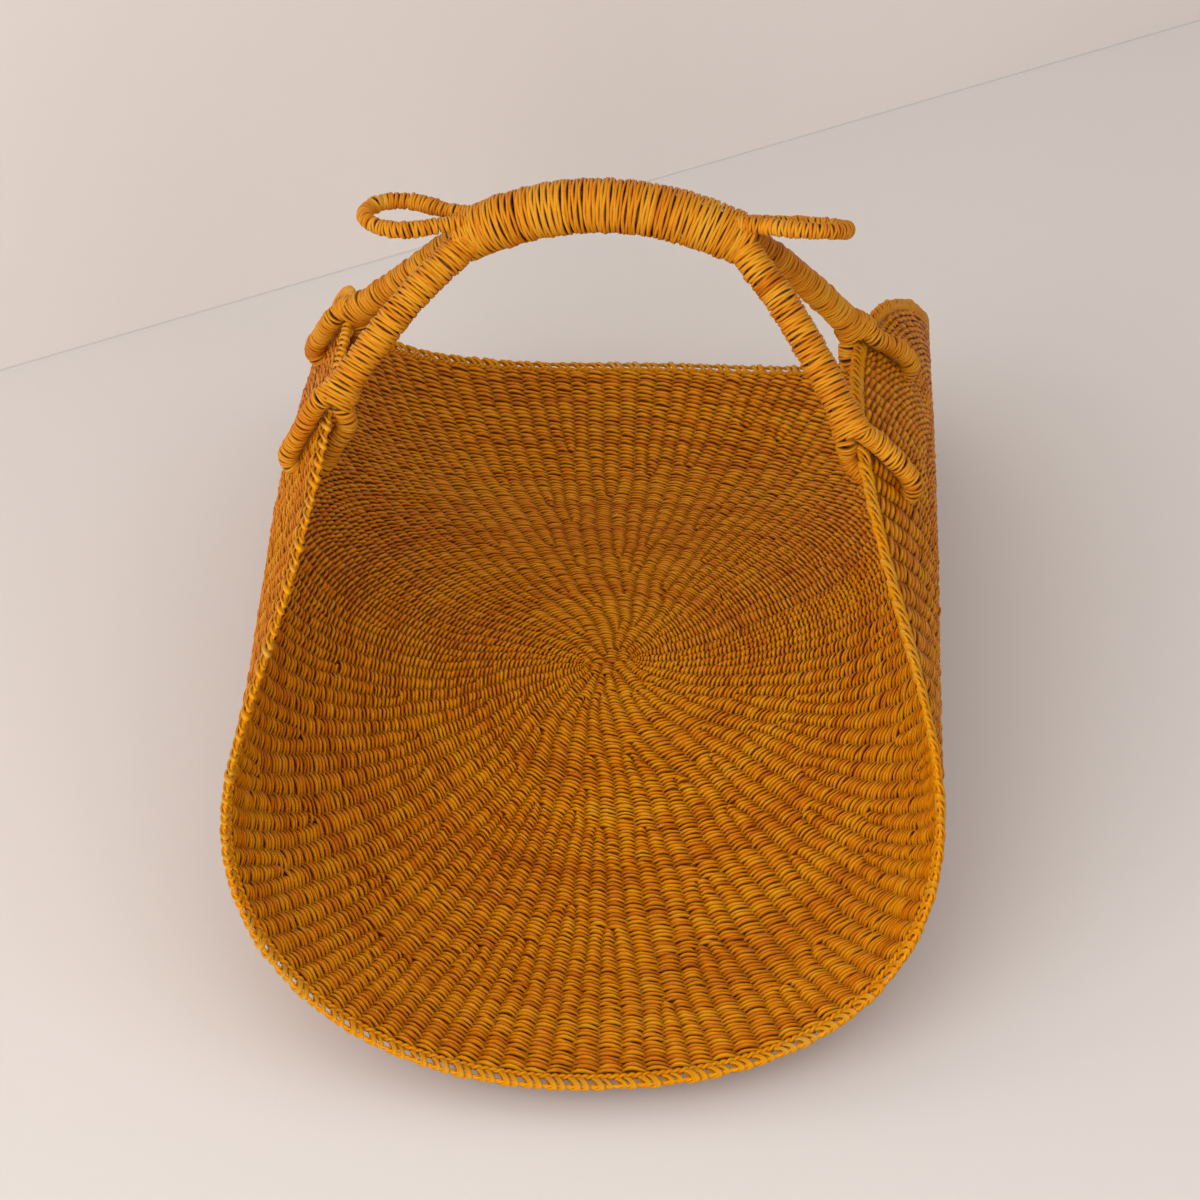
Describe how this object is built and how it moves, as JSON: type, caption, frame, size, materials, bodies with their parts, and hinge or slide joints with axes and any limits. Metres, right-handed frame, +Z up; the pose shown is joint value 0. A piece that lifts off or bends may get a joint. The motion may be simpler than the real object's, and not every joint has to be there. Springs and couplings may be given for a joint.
{
  "type": "gathering basket",
  "caption": "Trug-shaped gathering basket twined from ochre elephant grass, a round mat bent up at both sides, with a wrapped grass handle on looped feet and small ears.",
  "frame": {"origin": "on the floor, in the middle of the basket's footprint", "axes": "+Z up, +Y from the open front to the open back, +X to the right; the handle's grip runs along X"},
  "size_m": [0.3496, 0.64, 0.3288],
  "materials": {
    "mat_grass": "matt twined grass",
    "handle_grass": "matt wound grass",
    "straw_core": "matt bundled straw"
  },
  "bodies": {
    "root": {"woven_body": "mat_grass", "rim_braid": "mat_grass", "front_hoop_core": "straw_core", "back_hoop_core": "straw_core", "ear_loop_core": "straw_core", "grip_winding": "handle_grass", "left_ear_winding": "handle_grass", "right_ear_winding": "handle_grass", "right_front_leg_winding": "handle_grass", "right_front_foot_winding": "handle_grass", "right_back_leg_winding": "handle_grass", "right_back_foot_winding": "handle_grass", "left_front_leg_winding": "handle_grass", "left_front_foot_winding": "handle_grass", "left_back_leg_winding": "handle_grass", "left_back_foot_winding": "handle_grass"}
  },
  "joints": []
}
